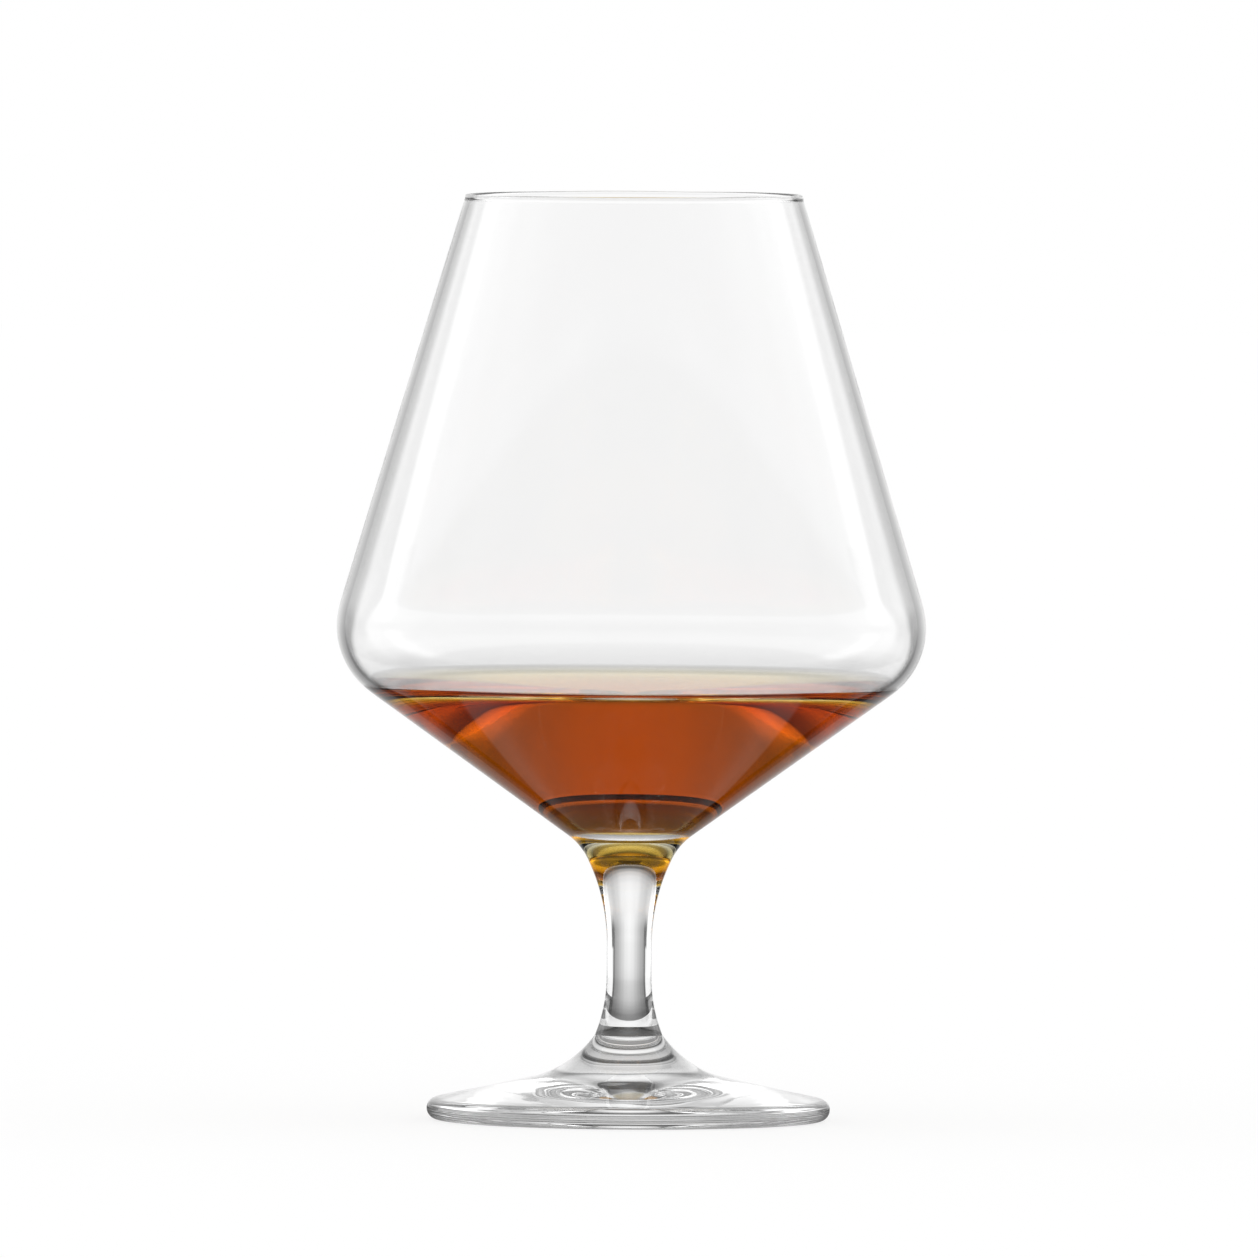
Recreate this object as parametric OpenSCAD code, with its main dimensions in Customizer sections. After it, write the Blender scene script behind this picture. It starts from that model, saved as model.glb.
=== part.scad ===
// Brandy snifter: a blown bowl, a drawn stem and a pressed foot, fused end to end,
// with a measure of brandy standing in the bowl.
// Millimetres. +Z is up, and the origin is on the table at the middle of the foot.
// Every piece is turned about Z from an outline of [radius, height] points.

/* [Overall] */
// Height of the whole glass, from the table to the rim
glass_height = 167; // [160:0.5:180]

/* [Bowl] */
// Outside diameter of the bowl at the rim
rim_diameter = 61; // [54:0.2:68]
// Thickness of the wall where it runs into the rim
rim_wall = 1.1; // [0.8:0.1:1.6]
// Diameter of the melted bead that rounds off the rim
rim_bead = 1.3; // [1.1:0.1:2]
// Outside diameter of the belly, the widest part of the bowl
belly_diameter = 106.3; // [96:0.1:114]
// Height of the belly above the table
belly_height = 88.8; // [84:0.2:96]
// Outside radius of the curve at the belly
belly_curve = 14.5; // [11:0.5:18]
// Thickness of the wall at the belly
belly_wall = 1.5; // [1:0.1:2.2]
// Thickness of the wall at the foot of the lower cone
base_wall = 3.5; // [2.5:0.1:4.5]
// Thickness of the glass under the middle of the bowl's floor
floor_thickness = 3.4; // [2.4:0.1:4.4]

/* [Stem] */
// Diameter of the stem at its waist
stem_diameter = 8.1; // [7:0.1:10]
// Height of the fused joint between the stem and the bowl
bowl_joint_height = 51.2; // [48:0.2:55]
// Diameter of that joint
bowl_joint_diameter = 22.1; // [19:0.1:25]
// Share of the stem's length that is below its straight waist
waist_start_share = 0.29; // [0.2:0.01:0.36]
// Share of the stem's length up to the top of its straight waist
waist_end_share = 0.46; // [0.4:0.01:0.5]
// Share of the turn out to the bowl that the long flare makes before the short one takes over
long_flare_turn_share = 0.494; // [0.3:0.002:0.6]

/* [Foot] */
// Diameter of the foot
foot_diameter = 72.7; // [66:0.1:80]
// Thickness of the foot's rounded edge
foot_edge = 3.9; // [3:0.1:5]
// Slope of the top of the foot, in degrees
foot_slope = 12.1; // [8:0.1:14]
// Height of the fused joint between the foot and the stem
foot_joint_height = 15.3; // [14:0.1:18]
// Diameter of that joint
foot_joint_diameter = 12.2; // [10.5:0.1:15]
// Radius of the flare from the foot into the stem
foot_curve = 20; // [15:0.5:24]
// Width of the flat ring that the glass stands on
ring_width = 5.4; // [3:0.2:10]
// Height of the hollow under the middle of the foot
hollow_height = 0.4; // [0.2:0.1:1.5]

/* [Brandy] */
// Share of the height from the bowl's floor to its belly that the brandy fills
brandy_fill_share = 0.706; // [0.25:0.002:0.9]
// Height that the brandy climbs where it meets the wall
meniscus_rise = 0.8; // [0.4:0.1:1.2]
// Slope of the brandy where it meets the wall, in degrees
meniscus_slope = 28; // [20:1:32]
// Gap left between the brandy and the glass, so that the brandy can turn
film_clearance = 0.3; // [0.2:0.05:0.5]

/* [Hidden] */
$fn = 64;
long_arc_steps = 12;
short_arc_steps = 6;
glass_colour = [0.80, 0.88, 0.90, 0.45];
brandy_colour = [0.62, 0.26, 0.06, 0.85];

// Outline helpers

// Point at an angle on a circle
function on_circle(centre, radius, angle) = centre + radius * [cos(angle), sin(angle)];

// Points along an arc of a circle, with its first point when first is 0 and without when it is 1
function arc(centre, radius, from, to, steps, first = 0) =
    [for (i = [first : steps]) on_circle(centre, radius, from + (to - from) * i / steps)];

// Direction out of the line that touches two circles, which both lie on its left as it
// runs from the first to the second. A negative radius puts that circle on its right.
function touching_angle(c1, r1, c2, r2) =
    atan2(c2[1] - c1[1], c2[0] - c1[0]) - acos((r1 - r2) / norm(c2 - c1));

// Bowl: two cones that touch the belly's circle outside, and the same again inside
bowl_joint = [bowl_joint_diameter / 2, bowl_joint_height];
belly_centre = [belly_diameter / 2 - belly_curve, belly_height];
inner_curve = belly_curve - belly_wall;
lip_centre = [(rim_diameter - rim_bead) / 2, glass_height - rim_bead / 2];
lip_round = rim_wall / 2;
lower_out = touching_angle(bowl_joint, 0, belly_centre, belly_curve);
upper_out = touching_angle(belly_centre, belly_curve, lip_centre, lip_round);
upper_in = touching_angle(belly_centre, inner_curve, lip_centre, -lip_round);

// Floor: the ball that leaves base_wall to the lower cone and floor_thickness to the joint
cone_lean = -lower_out;
floor_height = bowl_joint_height + floor_thickness;
floor_to_cone = bowl_joint[0] * cos(cone_lean) + floor_thickness * sin(cone_lean);
floor_round = (floor_to_cone - base_wall) / (1 - sin(cone_lean));
floor_centre = [0, floor_height + floor_round];
lower_in = touching_angle(floor_centre, floor_round, belly_centre, inner_curve);

// Stem: a straight waist, one flare down to the foot and two flares up to the bowl
waist_round = stem_diameter / 2;
foot_joint = [foot_joint_diameter / 2, foot_joint_height];
stem_length = bowl_joint_height - foot_joint_height;
waist_start = foot_joint_height + stem_length * waist_start_share;
waist_end = foot_joint_height + stem_length * waist_end_share;
low_out = foot_joint[0] - waist_round;
low_drop = waist_start - foot_joint_height;
low_curve = (low_out * low_out + low_drop * low_drop) / (2 * low_out);
low_turn = asin(low_drop / low_curve);
high_out = bowl_joint[0] - waist_round;
high_rise = bowl_joint_height - waist_end;
high_turn = cone_lean * long_flare_turn_share;
long_step = [1 - cos(high_turn), sin(high_turn)];
collar_step = [cos(high_turn) - cos(cone_lean), sin(cone_lean) - sin(high_turn)];
step_cross = long_step[0] * collar_step[1] - long_step[1] * collar_step[0];
high_curve = (high_out * collar_step[1] - high_rise * collar_step[0]) / step_cross;
collar_curve = (long_step[0] * high_rise - long_step[1] * high_out) / step_cross;
collar_centre = on_circle(bowl_joint, collar_curve, lower_out);

// Foot: a round edge, a cone that touches it, and a flare that touches the cone
edge_round = foot_edge / 2;
edge_centre = [foot_diameter / 2 - edge_round, edge_round];
top_out = [sin(foot_slope), cos(foot_slope)];
top_along = [cos(foot_slope), -sin(foot_slope)];
joint_over_top = top_out * (foot_joint - edge_centre) - edge_round;
flare_reach = sqrt(2 * foot_curve * joint_over_top - joint_over_top * joint_over_top);
flare_centre = foot_joint + (foot_curve - joint_over_top) * top_out + flare_reach * top_along;
flare_start = 270 - foot_slope;
flare_end = 360 + atan2(foot_joint[1] - flare_centre[1], foot_joint[0] - flare_centre[0]);
ring_inner = edge_centre[0] - ring_width;
hollow_curve = (ring_inner * ring_inner + hollow_height * hollow_height) / (2 * hollow_height);
hollow_centre = [0, hollow_height - hollow_curve];
hollow_end = atan2(hollow_curve - hollow_height, ring_inner);

// Brandy: the inside of the bowl less the clearance, up to a level with a raised edge
brandy_floor_round = floor_round - film_clearance;
brandy_curve = inner_curve - film_clearance;
brandy_floor = floor_height + film_clearance;
brandy_low = on_circle(floor_centre, brandy_floor_round, lower_in);
brandy_high = on_circle(belly_centre, brandy_curve, lower_in);
contact_height = brandy_floor + brandy_fill_share * (belly_height - brandy_floor);
cone_share = (contact_height - brandy_low[1]) / (brandy_high[1] - brandy_low[1]);
contact_turn = asin(min(0, max(-1, (contact_height - belly_height) / brandy_curve)));
brandy_wall = cone_share < 1
    ? [brandy_low + cone_share * (brandy_high - brandy_low)]
    : arc(belly_centre, brandy_curve, lower_in, contact_turn, short_arc_steps, 1);
brandy_contact = brandy_wall[len(brandy_wall) - 1];
meniscus_curve = meniscus_rise / (1 - cos(meniscus_slope));
meniscus_centre = on_circle(brandy_contact, meniscus_curve, 90 + meniscus_slope);
brandy_level = brandy_contact[1] - meniscus_rise;

// The bowl's wall from the joint up to the rim and down the inside to the middle of its floor
bowl_outline = concat(
    [[0, bowl_joint_height], bowl_joint],
    arc(belly_centre, belly_curve, lower_out, 0, long_arc_steps),
    arc(belly_centre, belly_curve, 0, upper_out, short_arc_steps, 1),
    arc(lip_centre, lip_round, upper_out, upper_in + 180, short_arc_steps),
    arc(belly_centre, inner_curve, upper_in, 0, short_arc_steps),
    arc(belly_centre, inner_curve, 0, lower_in, long_arc_steps, 1),
    arc(floor_centre, floor_round, lower_in, -90, short_arc_steps)
);

// The stem from the foot's joint up to the bowl's joint
stem_outline = concat(
    [[0, foot_joint_height]],
    arc([waist_round + low_curve, waist_start], low_curve, 180 + low_turn, 180, short_arc_steps),
    arc([waist_round + high_curve, waist_end], high_curve, 180, 180 - high_turn, short_arc_steps),
    arc(collar_centre, collar_curve, 180 - high_turn, 180 - cone_lean, short_arc_steps, 1),
    [[0, bowl_joint_height]]
);

// The foot from the hollow below, round the edge, over the top and up to the stem's joint
foot_outline = concat(
    arc(hollow_centre, hollow_curve, 90, hollow_end, short_arc_steps),
    arc(edge_centre, edge_round, -90, 90 - foot_slope, long_arc_steps),
    arc(flare_centre, foot_curve, flare_start, flare_end, long_arc_steps),
    [[0, foot_joint_height]]
);

// The brandy from the middle of the floor up the wall and back over its top
brandy_outline = concat(
    arc(floor_centre, brandy_floor_round, -90, lower_in, short_arc_steps),
    brandy_wall,
    arc(meniscus_centre, meniscus_curve, meniscus_slope - 90, -90, short_arc_steps, 1),
    [[0, brandy_level]]
);

module bowl() {
    color(glass_colour)
    rotate_extrude() {
        polygon(bowl_outline);
        translate(lip_centre)
            circle(d = rim_bead);
    }
}

module stem() {
    color(glass_colour)
    rotate_extrude()
        polygon(stem_outline);
}

module foot() {
    color(glass_colour)
    rotate_extrude()
        polygon(foot_outline);
}

module brandy() {
    color(brandy_colour)
    rotate_extrude()
        polygon(brandy_outline);
}

bowl();
stem();
foot();
brandy();
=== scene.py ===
import math

import bpy
import numpy as np
from mathutils import Matrix, Vector


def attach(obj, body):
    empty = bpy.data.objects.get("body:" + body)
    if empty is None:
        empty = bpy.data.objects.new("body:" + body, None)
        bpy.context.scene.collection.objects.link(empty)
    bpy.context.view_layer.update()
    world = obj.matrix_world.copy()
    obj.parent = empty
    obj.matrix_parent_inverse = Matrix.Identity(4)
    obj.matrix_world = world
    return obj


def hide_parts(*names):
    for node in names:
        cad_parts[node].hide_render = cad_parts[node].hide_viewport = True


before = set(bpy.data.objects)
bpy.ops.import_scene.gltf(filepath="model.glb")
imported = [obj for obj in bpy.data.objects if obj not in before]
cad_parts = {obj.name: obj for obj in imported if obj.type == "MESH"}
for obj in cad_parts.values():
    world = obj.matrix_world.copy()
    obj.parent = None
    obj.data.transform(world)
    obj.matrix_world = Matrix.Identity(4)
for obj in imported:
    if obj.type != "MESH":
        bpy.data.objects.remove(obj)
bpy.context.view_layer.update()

# Sizes of the glass in millimetres, as the CAD has them

MM = 0.001
GLASS_HEIGHT = 167.0
RIM_DIAMETER = 61.0
RIM_WALL = 1.1
RIM_BEAD = 1.3
BELLY_DIAMETER = 106.3
BELLY_HEIGHT = 88.8
BELLY_CURVE = 14.5
BELLY_WALL = 1.5
BASE_WALL = 3.5
FLOOR_THICKNESS = 3.4
STEM_DIAMETER = 8.1
BOWL_JOINT_HEIGHT = 51.2
BOWL_JOINT_DIAMETER = 22.1
WAIST_START_SHARE = 0.29
WAIST_END_SHARE = 0.46
LONG_FLARE_TURN_SHARE = 0.494
FOOT_DIAMETER = 72.7
FOOT_EDGE = 3.9
FOOT_SLOPE = 12.1
FOOT_JOINT_HEIGHT = 15.3
FOOT_JOINT_DIAMETER = 12.2
FOOT_CURVE = 20.0
RING_WIDTH = 5.4
HOLLOW_HEIGHT = 0.4
CONTACT_HEIGHT = 79.1
MENISCUS_RISE = 1.3
CAPILLARY_LENGTH = 1.8
WETTING_GAP = 0.01

# How far the fire evens out each outline, and how far down the wall it reaches from the lip

BOWL_SPREAD = 1.2
LIP_SPREAD = 0.14
LIP_REACH = 2.0
STEM_SPREAD = 0.6
FOOT_SPREAD = 0.25

# Optics

GLASS_IOR = 1.52
BRANDY_IOR = 1.34

# Mesh fineness in millimetres and turns, and the brandy's rings over its flat share and its edge

AROUND = 240
FINE_STEP = 0.05
LONG_STEP = 1.6
TURN_STEP = math.radians(3.0)
SAME_POINT = 1e-6
FLAT_SHARE = 0.8
FLAT_RINGS = 40
EDGE_RINGS = 60


def on_circle(centre, radius, degrees):
    """Point of a circle: the centre plus the radius along the angle."""
    a = np.radians(degrees)
    return np.asarray(centre) + radius * np.stack([np.cos(a), np.sin(a)], axis=-1)


def arc(centre, radius, start, end):
    """Arc as fine points: the circle's points at evenly spaced angles from start to end."""
    count = max(3, int(abs(radius * math.radians(end - start)) / FINE_STEP))
    return on_circle(centre, radius, np.linspace(start, end, count))


def straight(start, end):
    """Straight line as fine points, evenly spaced."""
    start, end = np.asarray(start, float), np.asarray(end, float)
    count = max(2, int(np.linalg.norm(end - start) / FINE_STEP))
    return start + (end - start) * np.linspace(0, 1, count)[:, None]


def touching_angle(c1, r1, c2, r2):
    """Angle of the normal of the line that touches two circles: the direction from the first
    centre to the second, less the angle whose cosine is the difference of radii over the distance."""
    d = np.subtract(c2, c1)
    return math.degrees(math.atan2(d[1], d[0]) - math.acos((r1 - r2) / np.hypot(*d)))


def chain(*runs):
    """Joins runs of points into one outline and leaves out points that repeat."""
    points = np.concatenate([np.atleast_2d(run) for run in runs])
    keep = np.r_[True, np.linalg.norm(np.diff(points, axis=0), axis=1) > SAME_POINT]
    return points[keep]


def lengths(points):
    """Distance along an outline from its first point to each point."""
    return np.r_[0, np.cumsum(np.linalg.norm(np.diff(points, axis=0), axis=1))]


def evened(points, spread):
    """Outline evened out as hot glass is by its own skin: each point becomes a Gaussian average of
    its neighbours along the line, with the ends carried on by point reflection so that they stay."""
    s = lengths(points)
    even = np.arange(0, s[-1], FINE_STEP)
    line = np.stack([np.interp(even, s, points[:, k]) for k in (0, 1)], axis=1)
    reach = min(int(3 * spread / FINE_STEP), len(line) - 1)
    head = 2 * line[0] - line[reach:0:-1]
    tail = 2 * line[-1] - line[-2:-reach - 2:-1]
    padded = np.concatenate([head, line, tail])
    offsets = np.arange(-reach, reach + 1) * FINE_STEP
    weight = np.exp(-0.5 * (offsets / spread) ** 2)
    weight /= weight.sum()
    smooth = np.stack([np.convolve(padded[:, k], weight, "valid") for k in (0, 1)], axis=1)
    smooth[-1] = points[-1]
    return smooth


def spaced(points, long_step=LONG_STEP, turn_step=TURN_STEP):
    """Outline resampled for a mesh: steps close up where it turns, so that each step is at most
    long_step long and at most turn_step of turning."""
    d = np.diff(points, axis=0)
    heading = np.unwrap(np.arctan2(d[:, 1], d[:, 0]))
    turning = np.abs(np.gradient(heading)) if len(heading) > 2 else np.zeros(len(heading))
    cost = np.linalg.norm(d, axis=1) / long_step + turning / turn_step
    total = np.r_[0, np.cumsum(cost)]
    count = max(2, int(np.ceil(total[-1])) + 1)
    at = np.linspace(0, total[-1], count)
    return np.stack([np.interp(at, total, points[:, k]) for k in (0, 1)], axis=1)


# Outlines of the pieces, as radius and height

bowl_joint = np.array([BOWL_JOINT_DIAMETER / 2, BOWL_JOINT_HEIGHT])
foot_joint = np.array([FOOT_JOINT_DIAMETER / 2, FOOT_JOINT_HEIGHT])
belly_centre = np.array([BELLY_DIAMETER / 2 - BELLY_CURVE, BELLY_HEIGHT])
lip_centre = np.array([(RIM_DIAMETER - RIM_BEAD) / 2, GLASS_HEIGHT - RIM_BEAD / 2])
lower_out = touching_angle(bowl_joint, 0, belly_centre, BELLY_CURVE)
cone_lean = -lower_out


def bowl_outside():
    """Outside of the bowl: a cone from the joint, the belly's arc that it touches, and the cone
    that leaves it and touches the lip."""
    upper_out = touching_angle(belly_centre, BELLY_CURVE, lip_centre, RIM_WALL / 2)
    low = on_circle(belly_centre, BELLY_CURVE, lower_out)
    high = on_circle(belly_centre, BELLY_CURVE, upper_out)
    lip = on_circle(lip_centre, RIM_WALL / 2, upper_out)
    return chain(straight(bowl_joint, low), arc(belly_centre, BELLY_CURVE, lower_out, upper_out),
                 straight(high, lip)), upper_out


def bowl_inside():
    """Inside of the bowl from the lip down: a cone, the belly's inner arc, a cone, and a round floor
    whose ball leaves the base wall to the outer cone and the floor's thickness to the joint."""
    inner = BELLY_CURVE - BELLY_WALL
    upper_in = touching_angle(belly_centre, inner, lip_centre, -RIM_WALL / 2)
    lean = math.radians(cone_lean)
    to_cone = bowl_joint[0] * math.cos(lean) + FLOOR_THICKNESS * math.sin(lean)
    ball = (to_cone - BASE_WALL) / (1 - math.sin(lean))
    ball_centre = np.array([0, BOWL_JOINT_HEIGHT + FLOOR_THICKNESS + ball])
    lower_in = touching_angle(ball_centre, ball, belly_centre, inner)
    lip = on_circle(lip_centre, -RIM_WALL / 2, upper_in)
    return chain(straight(lip, on_circle(belly_centre, inner, upper_in)),
                 arc(belly_centre, inner, upper_in, lower_in),
                 straight(on_circle(belly_centre, inner, lower_in),
                          on_circle(ball_centre, ball, lower_in)),
                 arc(ball_centre, ball, lower_in, -90)), upper_in


def fire_polished(outside, inside, lip_start, lip_end):
    """Rim melted round: the wall runs up to a bead of RIM_BEAD thickness, whose circle meets each
    side of the wall where the wall's half thickness is reached, and the corners are evened out."""
    half, ball = RIM_WALL / 2, RIM_BEAD / 2
    open_angle = math.degrees(math.acos(half / ball))
    bead = arc(lip_centre, ball, lip_start - open_angle, lip_end + 180 + open_angle)
    rise = outside[outside[:, 1] < bead[0, 1]]
    fall = inside[inside[:, 1] < bead[-1, 1]]
    melted_rise = rise[:, 1] > bead[0, 1] - LIP_REACH
    melted_fall = fall[:, 1] > bead[-1, 1] - LIP_REACH
    lip = evened(chain(rise[melted_rise], bead, fall[melted_fall]), LIP_SPREAD)
    return chain(rise[~melted_rise], lip[:1]), lip, chain(lip[-1:], fall[~melted_fall])


def stem_side():
    """Side of the stem from the foot up: an arc in to the straight waist, then a long arc and a
    short arc out to the bowl's cone. Both radii follow from the rise and the reach they must make."""
    waist = STEM_DIAMETER / 2
    length = BOWL_JOINT_HEIGHT - FOOT_JOINT_HEIGHT
    start = FOOT_JOINT_HEIGHT + length * WAIST_START_SHARE
    end = FOOT_JOINT_HEIGHT + length * WAIST_END_SHARE
    out, drop = foot_joint[0] - waist, start - FOOT_JOINT_HEIGHT
    low = (out * out + drop * drop) / (2 * out)
    low_turn = math.degrees(math.asin(drop / low))
    turn = cone_lean * LONG_FLARE_TURN_SHARE
    a, b = math.radians(turn), math.radians(cone_lean)
    steps = np.array([[1 - math.cos(a), math.cos(a) - math.cos(b)],
                      [math.sin(a), math.sin(b) - math.sin(a)]])
    long_flare, collar = np.linalg.solve(steps, [bowl_joint[0] - waist, BOWL_JOINT_HEIGHT - end])
    collar_centre = on_circle(bowl_joint, collar, lower_out)
    return chain(arc([waist + low, start], low, 180 + low_turn, 180),
                 arc([waist + long_flare, end], long_flare, 180, 180 - turn),
                 arc(collar_centre, collar, 180 - turn, 180 - cone_lean))


def foot_side():
    """Foot from the middle of its hollow: the hollow's shallow arc, the flat ring, the round edge,
    the cone that touches the edge, and the flare that touches the cone and ends at the stem."""
    edge = FOOT_EDGE / 2
    edge_centre = np.array([FOOT_DIAMETER / 2 - edge, edge])
    slope = math.radians(FOOT_SLOPE)
    top_out = np.array([math.sin(slope), math.cos(slope)])
    along = np.array([math.cos(slope), -math.sin(slope)])
    over = top_out @ (foot_joint - edge_centre) - edge
    reach = math.sqrt(2 * FOOT_CURVE * over - over * over)
    flare_centre = foot_joint + (FOOT_CURVE - over) * top_out + reach * along
    back = foot_joint - flare_centre
    flare_end = 360 + math.degrees(math.atan2(back[1], back[0]))
    ring = edge_centre[0] - RING_WIDTH
    hollow = (ring ** 2 + HOLLOW_HEIGHT ** 2) / (2 * HOLLOW_HEIGHT)
    hollow_centre = np.array([0, HOLLOW_HEIGHT - hollow])
    hollow_end = math.degrees(math.atan2(hollow - HOLLOW_HEIGHT, ring))
    under = arc(hollow_centre, hollow, 90, hollow_end)
    top = chain(arc(edge_centre, edge, -90, 90 - FOOT_SLOPE),
                straight(on_circle(edge_centre, edge, 90 - FOOT_SLOPE),
                         flare_centre - FOOT_CURVE * top_out),
                arc(flare_centre, FOOT_CURVE, 270 - FOOT_SLOPE, flare_end))
    return under, straight([ring, 0], [edge_centre[0], 0]), top


# Slight waves of hand-finished glass: depths in millimetres, counts around the glass and starts

RIM_WAVE_START = 130.0
RIM_FALL = 0.10
RIM_WAVE = 0.025
RIM_WAVES = ((5, 2.2), (8, 4.0))
SWIRL = 0.025
SWIRLS = ((1.0, 3, 0.30, 1.0), (0.8, 5, -0.45, 2.1), (0.6, 8, 0.70, 0.0))
SWIRL_FROM, SWIRL_GROWS = 9.0, 6.0
SWIRL_TO, SWIRL_FADES = 33.5, 4.0
SWIRL_ABOVE = 2.5


def rim_wave(radius, height, angle):
    """Rim a little lower on one side and wavy: one slow fall around it and two waves, at most 0.3 mm
    deep together, that die out below with the square of the height above RIM_WAVE_START."""
    fall = RIM_FALL * (1 - np.cos(angle))
    wave = RIM_WAVE * sum(1 + np.sin(count * angle + start) for count, start in RIM_WAVES)
    share = np.clip((height - RIM_WAVE_START) / (GLASS_HEIGHT - RIM_WAVE_START), 0, 1) ** 2
    return -share * (fall + wave)


def foot_wave(radius, height, angle):
    """Foot's top as the mould and the fire left it: shallow swirls, sine waves around the foot that
    turn with the radius, 0.06 mm at most together, and none at the edge, below or near the stem."""
    swirl = sum(share * np.sin(count * angle + twist * radius + start)
                for share, count, twist, start in SWIRLS)
    inner = np.clip((radius - SWIRL_FROM) / SWIRL_GROWS, 0, 1)
    outer = np.clip((SWIRL_TO - radius) / SWIRL_FADES, 0, 1)
    return SWIRL * inner * outer * (height > SWIRL_ABOVE) * swirl


# Meshes

def turned(name, runs, ior=None, lift=None):
    """Closed piece turned about the axis: each outline point [radius, height] becomes a ring of
    points radius times (cosine, sine) at its height, and the two ends on the axis are single points.
    runs is a list of (outline, material); edges between runs are sharp. ior gives each run's value
    of the ior attribute. lift adds a height in millimetres that depends on radius, height and angle."""
    outline = chain(*[run[0] for run in runs])
    owner = np.concatenate([np.full(len(run[0]) - 1, k) for k, run in enumerate(runs)])
    ends = np.cumsum([0] + [len(run[0]) - 1 for run in runs])
    assert len(outline) == ends[-1] + 1, (name, len(outline), ends)
    rings = outline[1:-1] * MM
    angle = np.arange(AROUND) * 2 * np.pi / AROUND
    height = np.repeat(rings[:, 1:], AROUND, axis=1)
    if lift is not None:
        height = height + lift(outline[1:-1, :1], outline[1:-1, 1:], angle) * MM
    ring_points = np.stack([rings[:, :1] * np.cos(angle), rings[:, :1] * np.sin(angle), height],
                           axis=-1).reshape(-1, 3)
    poles = np.array([[0, 0, outline[0, 1]], [0, 0, outline[-1, 1]]]) * MM
    points = np.concatenate([ring_points, poles])
    first, last = len(ring_points), len(ring_points) + 1
    here = np.arange(AROUND)
    after = (here + 1) % AROUND
    row = np.arange(len(rings) - 1)[:, None] * AROUND
    quads = np.stack([row + here, row + after, row + AROUND + after, row + AROUND + here],
                     axis=-1).reshape(-1, 4)
    top = (len(rings) - 1) * AROUND
    cap_a = np.stack([np.full(AROUND, first), after, here], axis=-1)
    cap_b = np.stack([np.full(AROUND, last), top + here, top + after], axis=-1)
    corners = np.concatenate([cap_a.ravel(), quads.ravel(), cap_b.ravel()])
    sizes = np.r_[np.full(AROUND, 3), np.full(len(quads), 4), np.full(AROUND, 3)]
    starts = np.r_[0, np.cumsum(sizes)[:-1]]
    slot = np.repeat(owner, AROUND)
    mesh = bpy.data.meshes.new(name)
    mesh.vertices.add(len(points))
    mesh.vertices.foreach_set("co", points.ravel())
    mesh.loops.add(len(corners))
    mesh.loops.foreach_set("vertex_index", corners.astype(np.int32))
    mesh.polygons.add(len(sizes))
    mesh.polygons.foreach_set("loop_start", starts.astype(np.int32))
    materials = list(dict.fromkeys(run[1] for run in runs))
    for material in materials:
        mesh.materials.append(material)
    slot_of_run = np.array([materials.index(run[1]) for run in runs])
    mesh.polygons.foreach_set("material_index", slot_of_run[slot].astype(np.int32))
    mesh.polygons.foreach_set("use_smooth", np.ones(len(sizes), bool))
    mesh.update(calc_edges=True)
    pairs = np.empty(len(mesh.edges) * 2, np.int32)
    mesh.edges.foreach_get("vertices", pairs)
    ring_of = np.minimum(pairs.reshape(-1, 2) // AROUND, len(rings))
    on_ring = (ring_of[:, 0] == ring_of[:, 1]) & np.isin(ring_of[:, 0], ends[1:-1] - 1)
    mesh.edges.foreach_set("use_edge_sharp", on_ring)
    if ior is not None:
        attribute = mesh.attributes.new("liquid_ior", "FLOAT", "FACE")
        attribute.data.foreach_set("value", np.array(ior, float)[slot].astype(np.float32))
    mesh.validate()
    piece = bpy.data.objects.new(name, mesh)
    bpy.context.scene.collection.objects.link(piece)
    return piece


# Materials

WHITE = (1, 1, 1, 1)
HAZE = 0.012
HAZE_PATCHES, HAZE_DETAIL = 38.0, 3
HAZE_FROM, HAZE_TO = 0.5, 0.8
MARK_DETAIL = 2
BLOWN_MARKS, BLOWN_DEPTH = (25.0, 25.0, 60.0), 3e-5
DRAWN_MARKS, DRAWN_DEPTH = (600.0, 600.0, 12.0), 4e-6
PRESSED_MARKS, PRESSED_DEPTH = (70.0, 70.0, 70.0), 1.5e-5
RIPPLE_MARKS, RIPPLE_DEPTH = (45.0, 45.0, 45.0), 1e-5
ABSORPTION_PER_METRE = (12.5, 42.0, 170.0)


def surface_marks(tree, shader, marks, depth):
    """Faint uneven marks: soft noise that repeats about marks times per metre along x, y and z,
    depth metres deep, tilts the surface."""
    place = tree.nodes.new("ShaderNodeTexCoord").outputs["Object"]
    stretch = tree.nodes.new("ShaderNodeMapping")
    stretch.inputs["Scale"].default_value = marks
    tree.links.new(place, stretch.inputs["Vector"])
    noise = tree.nodes.new("ShaderNodeTexNoise")
    noise.inputs["Scale"].default_value = 1
    noise.inputs["Detail"].default_value = MARK_DETAIL
    tree.links.new(stretch.outputs[0], noise.inputs["Vector"])
    relief = tree.nodes.new("ShaderNodeBump")
    relief.inputs["Strength"].default_value = 1
    relief.inputs["Distance"].default_value = depth
    tree.links.new(noise.outputs["Fac"], relief.inputs["Height"])
    tree.links.new(relief.outputs[0], shader.inputs["Normal"])
    return place


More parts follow.
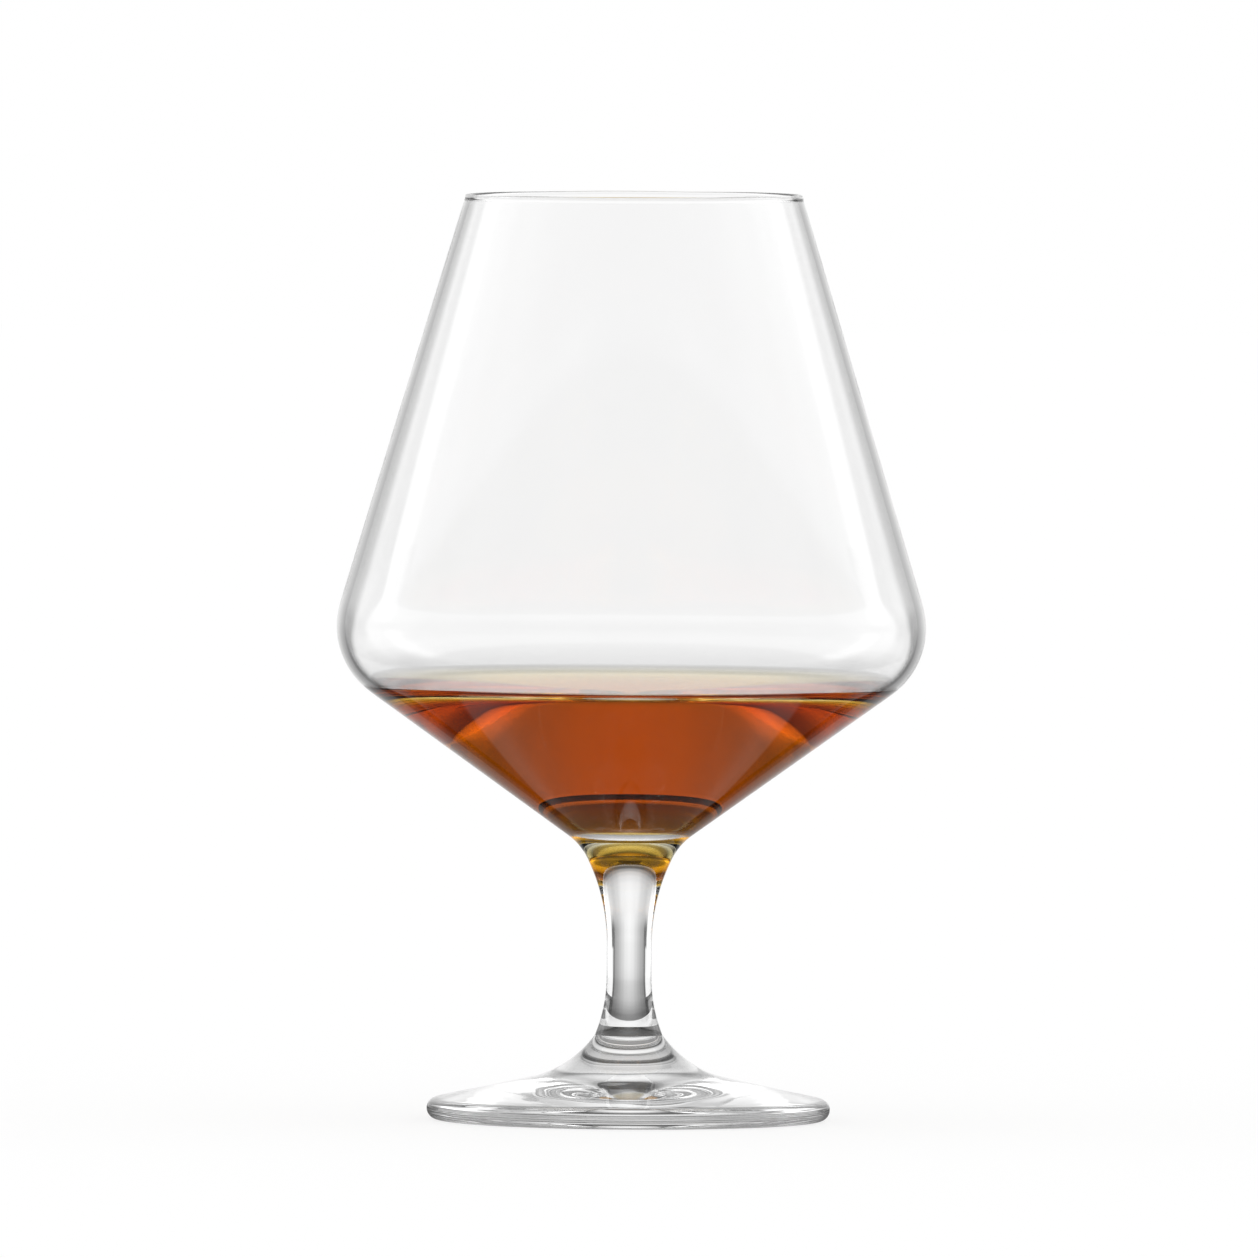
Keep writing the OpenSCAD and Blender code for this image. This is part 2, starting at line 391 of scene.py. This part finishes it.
def clear_glass(name, ior, marks, depth):
    """Clear glass against air, or against brandy when its index is the quotient of both indices. Its
    making leaves faint marks, and its polish goes from clear to a breath of haze in wide patches."""
    material = bpy.data.materials.new(name)
    material.use_nodes = True
    tree = material.node_tree
    shader = tree.nodes["Principled BSDF"]
    shader.inputs["Base Color"].default_value = WHITE
    shader.inputs["IOR"].default_value = ior
    shader.inputs["Transmission Weight"].default_value = 1
    place = surface_marks(tree, shader, marks, depth)
    patches = tree.nodes.new("ShaderNodeTexNoise")
    patches.inputs["Scale"].default_value = HAZE_PATCHES
    patches.inputs["Detail"].default_value = HAZE_DETAIL
    tree.links.new(place, patches.inputs["Vector"])
    haze = tree.nodes.new("ShaderNodeMapRange")
    haze.inputs["From Min"].default_value = HAZE_FROM
    haze.inputs["From Max"].default_value = HAZE_TO
    haze.inputs["To Max"].default_value = HAZE
    tree.links.new(patches.outputs["Fac"], haze.inputs["Value"])
    tree.links.new(haze.outputs[0], shader.inputs["Roughness"])
    return material


def fused_seam():
    """The inside of a fused joint, which can't be seen: light passes straight through."""
    material = bpy.data.materials.new("fused_seam")
    material.use_nodes = True
    tree = material.node_tree
    tree.nodes.remove(tree.nodes["Principled BSDF"])
    clear = tree.nodes.new("ShaderNodeBsdfTransparent")
    tree.links.new(clear.outputs[0], tree.nodes["Material Output"].inputs["Surface"])
    return material


def amber_brandy():
    """Brandy: a clear liquid that takes out blue fastest, then green. Its skin bends light at the
    free surface only, because the wetted glass already carries the step between the two."""
    material = bpy.data.materials.new("brandy")
    material.use_nodes = True
    tree = material.node_tree
    shader = tree.nodes["Principled BSDF"]
    shader.inputs["Base Color"].default_value = WHITE
    shader.inputs["Roughness"].default_value = 0
    shader.inputs["IOR"].default_value = BRANDY_IOR
    shader.inputs["Transmission Weight"].default_value = 1
    surface_marks(tree, shader, RIPPLE_MARKS, RIPPLE_DEPTH)
    index = tree.nodes.new("ShaderNodeAttribute")
    index.attribute_name = "liquid_ior"
    tree.links.new(index.outputs["Fac"], shader.inputs["IOR"])
    dye = tree.nodes.new("ShaderNodeVolumeAbsorption")
    strongest = max(ABSORPTION_PER_METRE)
    dye.inputs["Color"].default_value = tuple(1 - a / strongest for a in ABSORPTION_PER_METRE) + (1,)
    dye.inputs["Density"].default_value = strongest
    tree.links.new(dye.outputs[0], tree.nodes["Material Output"].inputs["Volume"])
    return material


blown_glass = clear_glass("blown_glass", GLASS_IOR, BLOWN_MARKS, BLOWN_DEPTH)
wet_glass = clear_glass("wetted_glass", GLASS_IOR / BRANDY_IOR, BLOWN_MARKS, BLOWN_DEPTH)
drawn_glass = clear_glass("drawn_glass", GLASS_IOR, DRAWN_MARKS, DRAWN_DEPTH)
pressed_glass = clear_glass("pressed_glass", GLASS_IOR, PRESSED_MARKS, PRESSED_DEPTH)
seam = fused_seam()
brandy_liquid = amber_brandy()

# Bowl

outside, lip_start = bowl_outside()
inside, lip_end = bowl_inside()
outside, lip, inside = fire_polished(evened(outside, BOWL_SPREAD), evened(inside, BOWL_SPREAD),
                                     lip_start, lip_end)
outside, lip = spaced(outside), spaced(lip)
contact = int(np.argmax(inside[:, 1] <= CONTACT_HEIGHT))
dry = spaced(inside[:contact + 1])
wet = spaced(inside[contact:])
wet[-1] = [0, inside[-1, 1]]
joint_disc = np.array([[0, BOWL_JOINT_HEIGHT], bowl_joint])
bowl = turned("bowl_skin", [(joint_disc, seam), (chain(outside, lip, dry), blown_glass),
                            (wet, wet_glass)], lift=rim_wave)

# Stem

side = spaced(evened(stem_side(), STEM_SPREAD))
side[0], side[-1] = foot_joint, bowl_joint
lower_disc = np.array([[0, FOOT_JOINT_HEIGHT], foot_joint])
stem = turned("stem_skin", [(lower_disc, seam), (side, drawn_glass), (joint_disc[::-1], seam)])

# Foot

under, ring, top = foot_side()
under, ring, top = spaced(under), ring[[0, -1]], spaced(evened(top, FOOT_SPREAD))
under[0] = [0, HOLLOW_HEIGHT]
under[-1] = ring[0]
top[0], top[-1] = ring[1], foot_joint
foot = turned("foot_skin", [(under, pressed_glass), (ring, pressed_glass), (top, pressed_glass),
                            (lower_disc[::-1], seam)], lift=foot_wave)

# Brandy

wall = wet[::-1].copy()
wall[:, 1] += WETTING_GAP
level = wall[-1, 1] - MENISCUS_RISE
shares = np.r_[np.linspace(0, FLAT_SHARE, FLAT_RINGS), np.linspace(FLAT_SHARE, 1, EDGE_RINGS)[1:]]
across = shares[::-1] * wall[-1, 0]
climb = MENISCUS_RISE * np.exp((across - wall[-1, 0]) / CAPILLARY_LENGTH)
surface = np.stack([across, level + climb], axis=1)
surface[0] = wall[-1]
brandy = turned("brandy_fill", [(wall, brandy_liquid), (surface, brandy_liquid)],
                ior=[1.0, BRANDY_IOR])

for piece, body, node, slot in ((bowl, "glass", "bowl", "clear_glass"),
                                (stem, "glass", "stem", "clear_glass"),
                                (foot, "glass", "foot", "clear_glass"),
                                (brandy, "brandy", "brandy", "brandy")):
    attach(piece, body)
    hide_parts(node)

# Studio as the glass shows it: a white backdrop, dark flags beside it, soft boxes at the sides and a
# dark ceiling, and a floor with painted shade near the glass and painted light under and just behind
# the foot.
# Each list is (degrees or millimetres, brightness): degrees around from straight behind or up from
# level, millimetres from the glass's axis.

HALF_TURN = 180.0
UPRIGHT = 90.0
BRIGHTEST = 2.0
LOW_AROUND = [(0, 1.0), (6, 0.93), (12, 0.75), (17, 0.6), (22, 0.47), (29, 0.35), (31, 0.13),
              (38.5, 0.12), (40, 1.0), (50, 1.2), (75, 1.2), (90, 1.0), (130, 0.85), (180, 0.8)]
HIGH_AROUND = [(0, 1.0), (10, 0.94), (19, 0.75), (26, 0.68), (36, 0.8), (43, 1.2), (55, 1.3),
               (59, 1.9), (66, 1.9), (71, 1.3), (80, 1.1), (95, 0.9), (130, 0.68), (180, 0.62)]
LOW_TO_HIGH = [(0, 0.0), (2, 0.0), (12, 1.0), (90, 1.0)]
UP_BEHIND = [(0, 0.98), (8, 1.02), (15, 1.02), (20, 0.97), (24, 0.86), (27, 0.7), (30, 0.42),
             (34, 0.13), (45, 0.12), (64, 0.26), (90, 0.3)]
UP_BESIDE = [(0, 0.9), (14, 0.9), (28, 1.3), (37, 1.3), (44, 0.4), (55, 0.15), (90, 0.1)]
BEHIND_TO_BESIDE = [(0, 0.0), (45, 0.0), (65, 1.0), (180, 1.0)]

# Painted light and shade on the floor, shown only in the glass: dim near the glass as in its shadow,
# with painted pools of light under the foot and just behind it, and brighter far off
FLOOR_BEHIND = [(0, 0.12), (17, 0.14), (21, 0.9), (31, 0.9), (36, 0.65), (41, 0.35), (46, 0.22),
                (52, 0.24), (61, 0.36), (72, 0.45), (85, 0.54), (101, 0.62), (123, 0.65),
                (197, 0.68), (300, 0.73), (450, 0.82), (760, 0.91), (1500, 0.95), (6000, 0.98)]
FLOOR_BESIDE = [(0, 0.12), (30, 0.14), (44, 0.16), (60, 0.26), (71, 0.22), (76, 0.05), (110, 0.05),
                (150, 0.3), (200, 0.4), (240, 0.55), (300, 0.7), (400, 0.9), (700, 1.0), (6000, 1.0)]
FLOOR_TO_BESIDE = [(0, 0.0), (32, 0.0), (37, 1.0), (180, 1.0)]
FLOOR_UNDER_FOOT = [(0, 0.75), (34, 0.75), (38, 0.3), (44, 0.0), (6000, 0.0)]
FLOOR_PAST_WALL = [(0, 1.0), (450, 1.0), (700, 0.92), (950, 0.0), (6000, 0.0)]
FLOOR_PAST_BRANDY = [(0, 0.9), (120, 0.9), (135, 0.7), (150, 0.3), (165, 0.0), (6000, 0.0)]
HALF_WAY = 150.0

# What a ray to the floor tells of its way, which picks the floor's painted light and shade: surfaces it
# crossed, whether it was mirrored, and where it left the glass, in millimetres

ONE_WALL_CROSSINGS = 2.5
DRY_CROSSINGS = 4.5
NOT_MIRRORED = 0.5
STEM_ROUND = 4.0
STEM_TOP = 52.0
BOWL_LOW = 62.0
WIDE_STEP = 20.0
FOOT_FLIGHT = 95.0

HALF_FLOOR = 6.0
FLOOR_GAP = 0.05
SHADOW_SHARE = 0.2
PAPER_ROUGHNESS = 0.9
# Cards of painted shade, seen only through the brandy: how far out, how far back and how high they
# stand, in millimetres, and how dim they glow
CARD_OUT = 54.0
CARD_BACK = (69.0, 90.0)
CARD_TOP = 62.0
CARD_SHADE = 0.09


def add_node(tree, kind, *inputs, **settings):
    """Node of a kind with its first inputs linked or set, in order, and its settings."""
    made = tree.nodes.new(kind)
    for name, value in settings.items():
        setattr(made, name, value)
    for socket, value in zip(made.inputs, inputs):
        if isinstance(value, bpy.types.NodeSocket):
            tree.links.new(value, socket)
        elif value is not None:
            socket.default_value = value
    return made


def sums(tree, operation, *inputs):
    """Output of one Math node."""
    return add_node(tree, "ShaderNodeMath", *inputs, operation=operation).outputs[0]


def shade_by(tree, value, top, stops):
    """Brightness that follows a value along a ramp of (value, brightness) stops, from 0 up to top."""
    ramp = add_node(tree, "ShaderNodeValToRGB", sums(tree, "DIVIDE", value, top))
    ramp.color_ramp.interpolation = "EASE"
    marks = ramp.color_ramp.elements
    while len(marks) < len(stops):
        marks.new(1.0)
    for mark, (at, bright) in zip(marks, stops):
        mark.position = at / top
        mark.color = (bright / BRIGHTEST,) * 3 + (1,)
    return sums(tree, "MULTIPLY", ramp.outputs[0], BRIGHTEST)


def between(tree, share, low, high):
    """Value that goes from low to high as the share goes from 0 to 1."""
    return sums(tree, "MULTIPLY_ADD", share, sums(tree, "SUBTRACT", high, low), low)


def held(tree, value):
    """Value held between 0 and 1."""
    return add_node(tree, "ShaderNodeClamp", value).outputs[0]


def squared(tree, value):
    """Square of a value."""
    return sums(tree, "POWER", value, 2.0)


def turn_from_back(tree, parts):
    """Angle in degrees, 0 to 180, from the direction behind the glass to a point or direction."""
    turn = sums(tree, "ARCTAN2", parts.outputs[0], parts.outputs[1])
    return sums(tree, "DEGREES", sums(tree, "ABSOLUTE", turn))


def left_the_bowl(tree, path, away, beside):
    """Share, 0 or 1 with soft steps, of a ray through one wall that left the bowl and not the stem or
    the foot. A ray from the stem, STEM_ROUND from the axis, drops the square root of its length
    squared less its level run squared, which is at most STEM_TOP. The bowl's rays drop further, or
    seem to rise because they start further out, or land beside the glass beyond the foot's rays."""
    flight = sums(tree, "DIVIDE", path.outputs["Ray Length"], MM)
    level_run = sums(tree, "SUBTRACT", away, STEM_ROUND)
    drop = sums(tree, "SUBTRACT", squared(tree, flight), squared(tree, level_run))
    steep = held(tree, sums(tree, "DIVIDE", sums(tree, "SUBTRACT", drop, STEM_TOP ** 2),
                            BOWL_LOW ** 2 - STEM_TOP ** 2))
    wide = sums(tree, "MULTIPLY", held(tree, sums(tree, "DIVIDE", drop, -WIDE_STEP ** 2)),
                sums(tree, "GREATER_THAN", flight, FOOT_FLIGHT))
    outer = sums(tree, "MULTIPLY", beside, sums(tree, "GREATER_THAN", away, FOOT_FLIGHT))
    return sums(tree, "MAXIMUM", outer, sums(tree, "MAXIMUM", steep, wide))


def floor_in_glass(tree, path):
    """Painted brightness of the floor as the glass shows it, standing in for its light and shade: the
    lists behind and beside, mixed by the angle and times the light low around, or the clear floor's
    list where that is brighter and the ray came straight through. The floor is painted dim near the
    glass, as in its shadow, with painted pools of light under the foot and just behind it. Distances go
    on a scale from 0 here to 1 far away, the distance over the sum of itself and HALF_WAY, so that near
    stops keep their places on a ramp."""
    place = add_node(tree, "ShaderNodeSeparateXYZ",
                     tree.nodes.new("ShaderNodeTexCoord").outputs["Object"])
    away = sums(tree, "SQRT", sums(tree, "ADD", squared(tree, place.outputs[0]),
                                   squared(tree, place.outputs[1])))
    away = sums(tree, "DIVIDE", away, MM)
    reach = sums(tree, "DIVIDE", away, sums(tree, "ADD", away, HALF_WAY))
    turn = turn_from_back(tree, place)
    beside = shade_by(tree, turn, HALF_TURN, FLOOR_TO_BESIDE)

    def along(stops):
        return shade_by(tree, reach, 1, [(at / (at + HALF_WAY), bright) for at, bright in stops])

    # Painted shade: the floor dim near the glass as in its shadow and lighter far off, mixed behind and
    # beside
    studio = sums(tree, "MULTIPLY", shade_by(tree, turn, HALF_TURN, LOW_AROUND),
                  between(tree, beside, along(FLOOR_BEHIND), along(FLOOR_BESIDE)))
    # Painted light: a brighter floor for rays straight through the glass, with a pool of light under
    # the foot
    past_wall = along(FLOOR_PAST_WALL)
    past_one = sums(tree, "MAXIMUM", along(FLOOR_UNDER_FOOT),
                    sums(tree, "MULTIPLY", left_the_bowl(tree, path, away, beside), past_wall))
    crossed = path.outputs["Transmission Depth"]
    both_walls = sums(tree, "GREATER_THAN", crossed, ONE_WALL_CROSSINGS)
    brandy_too = sums(tree, "GREATER_THAN", crossed, DRY_CROSSINGS)
    past_both = between(tree, brandy_too, past_wall, along(FLOOR_PAST_BRANDY))
    direct = sums(tree, "LESS_THAN", path.outputs["Glossy Depth"], NOT_MIRRORED)
    direct = sums(tree, "MULTIPLY", direct, path.outputs["Is Transmission Ray"])
    clear = sums(tree, "MULTIPLY", between(tree, both_walls, past_one, past_both), direct)
    return sums(tree, "MAXIMUM", studio, clear)


def white_paper():
    """The floor's paper: white with a little of the object's shadow to the camera, matt to other
    light, and in the glass a floor with painted light and shade."""
    paper = bpy.data.materials.new("white_floor")
    paper.use_nodes = True
    tree = paper.node_tree
    matt = tree.nodes["Principled BSDF"]
    matt.inputs["Base Color"].default_value = WHITE
    matt.inputs["Roughness"].default_value = PAPER_ROUGHNESS
    matt.inputs["Specular IOR Level"].default_value = 0
    path = tree.nodes.new("ShaderNodeLightPath")
    # In the glass the floor glows with its painted light and shade
    in_glass = add_node(tree, "ShaderNodeEmission", WHITE, floor_in_glass(tree, path))
    plain = add_node(tree, "ShaderNodeEmission", WHITE, 1.0)
    seen = add_node(tree, "ShaderNodeMixShader", SHADOW_SHARE, plain.outputs[0], matt.outputs[0])
    through = sums(tree, "MAXIMUM", path.outputs["Is Transmission Ray"], path.outputs["Is Glossy Ray"])
    other = add_node(tree, "ShaderNodeMixShader", through, matt.outputs[0], in_glass.outputs[0])
    final = add_node(tree, "ShaderNodeMixShader", path.outputs["Is Camera Ray"], other.outputs[0],
                     seen.outputs[0])
    tree.links.new(final.outputs[0], tree.nodes["Material Output"].inputs["Surface"])
    return paper


def painted_shade_card_material():
    """Painted shade cards: a dim glow to rays that crossed the brandy, which darkens the brandy where
    they show, and not there for any other.
    """
    shade_card_paint = bpy.data.materials.new("painted_shade_card")
    shade_card_paint.use_nodes = True
    tree = shade_card_paint.node_tree
    tree.nodes.remove(tree.nodes["Principled BSDF"])
    path = tree.nodes.new("ShaderNodeLightPath")
    crossed = sums(tree, "GREATER_THAN", path.outputs["Transmission Depth"], DRY_CROSSINGS)
    nothing = tree.nodes.new("ShaderNodeBsdfTransparent")
    dim = add_node(tree, "ShaderNodeEmission", WHITE, CARD_SHADE)
    shown = add_node(tree, "ShaderNodeMixShader", crossed, nothing.outputs[0], dim.outputs[0])
    tree.links.new(shown.outputs[0], tree.nodes["Material Output"].inputs["Surface"])
    return shade_card_paint


def stage_sheet(name, corners, material):
    """Flat sheet of the stage between four corners, which are in metres."""
    mesh = bpy.data.meshes.new(name)
    mesh.from_pydata(corners.tolist(), [], [(0, 1, 2, 3)])
    mesh.materials.append(material)
    sheet = bpy.data.objects.new(name, mesh)
    bpy.context.scene.collection.objects.link(sheet)


square = np.array([(-1, -1), (1, -1), (1, 1), (-1, 1)]) * HALF_FLOOR
stage_sheet("floor", np.c_[square, np.full(4, -FLOOR_GAP * MM)], white_paper())

# Two cards of painted shade beside and behind the glass, seen only through the brandy
shade_card_paint = painted_shade_card_material()
near, far = CARD_BACK
upright = np.array([(near, 0), (far, 0), (far, CARD_TOP), (near, CARD_TOP)])
for name, way in (("left_painted_shade_card", -1), ("right_painted_shade_card", 1)):
    stage_sheet(name, np.c_[np.full(4, way * CARD_OUT), upright] * MM, shade_card_paint)

world = bpy.data.worlds.new("studio")
bpy.context.scene.world = world
world.use_nodes = True
tree = world.node_tree
sky = tree.nodes["Background"]
sky.inputs["Color"].default_value = WHITE
path = tree.nodes.new("ShaderNodeLightPath")
toward = add_node(tree, "ShaderNodeSeparateXYZ",
                  tree.nodes.new("ShaderNodeTexCoord").outputs["Generated"])
rise = sums(tree, "DEGREES", sums(tree, "ARCSINE", toward.outputs[2]))
turn = turn_from_back(tree, toward)
upward = between(tree, shade_by(tree, turn, HALF_TURN, BEHIND_TO_BESIDE),
                 shade_by(tree, rise, UPRIGHT, UP_BEHIND), shade_by(tree, rise, UPRIGHT, UP_BESIDE))
around = between(tree, shade_by(tree, rise, UPRIGHT, LOW_TO_HIGH),
                 shade_by(tree, turn, HALF_TURN, LOW_AROUND),
                 shade_by(tree, turn, HALF_TURN, HIGH_AROUND))
plain = sums(tree, "MAXIMUM", path.outputs["Is Camera Ray"], path.outputs["Is Diffuse Ray"])
strength = add_node(tree, "ShaderNodeMix", plain, None, sums(tree, "MULTIPLY", around, upward), 1.0)
tree.links.new(strength.outputs[0], sky.inputs["Strength"])

# Camera: the photograph's size and scale in pixels, and the eye's place in millimetres

PHOTO = 1258.0
PX_PER_MM = 5.554
BASE_ROW = 1120.5
SENSOR = 36.0
DISTANCE = 5060.0
EYE_HEIGHT = 262.0
AIM_X = -0.42
AIM_Z = (BASE_ROW - PHOTO / 2) / PX_PER_MM
ROLL = math.radians(0.377)
FAR_CLIP = 100
LIGHT_BOUNCES = 48
MIRROR_BOUNCES = 16

camera_data = bpy.data.cameras.new("camera")
camera_data.sensor_width = SENSOR
camera_data.lens = PX_PER_MM * DISTANCE * SENSOR / PHOTO
camera_data.clip_end = FAR_CLIP
camera = bpy.data.objects.new("camera", camera_data)
bpy.context.scene.collection.objects.link(camera)
eye = Vector((0, -DISTANCE * MM, EYE_HEIGHT * MM))
aim = Vector((AIM_X * MM, 0, AIM_Z * MM))
forward = (aim - eye).normalized()
right = forward.cross(Vector((0, 0, 1))).normalized()
up = right.cross(forward)
turned_right = right * math.cos(ROLL) + up * math.sin(ROLL)
turned_up = up * math.cos(ROLL) - right * math.sin(ROLL)
camera.matrix_world = Matrix((
    (turned_right.x, turned_up.x, -forward.x, eye.x),
    (turned_right.y, turned_up.y, -forward.y, eye.y),
    (turned_right.z, turned_up.z, -forward.z, eye.z),
    (0, 0, 0, 1)))
bpy.context.scene.camera = camera
bpy.context.scene.view_settings.view_transform = "Standard"
bpy.context.scene.cycles.max_bounces = LIGHT_BOUNCES
bpy.context.scene.cycles.transmission_bounces = LIGHT_BOUNCES
bpy.context.scene.cycles.glossy_bounces = MIRROR_BOUNCES
bpy.context.scene.cycles.transparent_max_bounces = LIGHT_BOUNCES
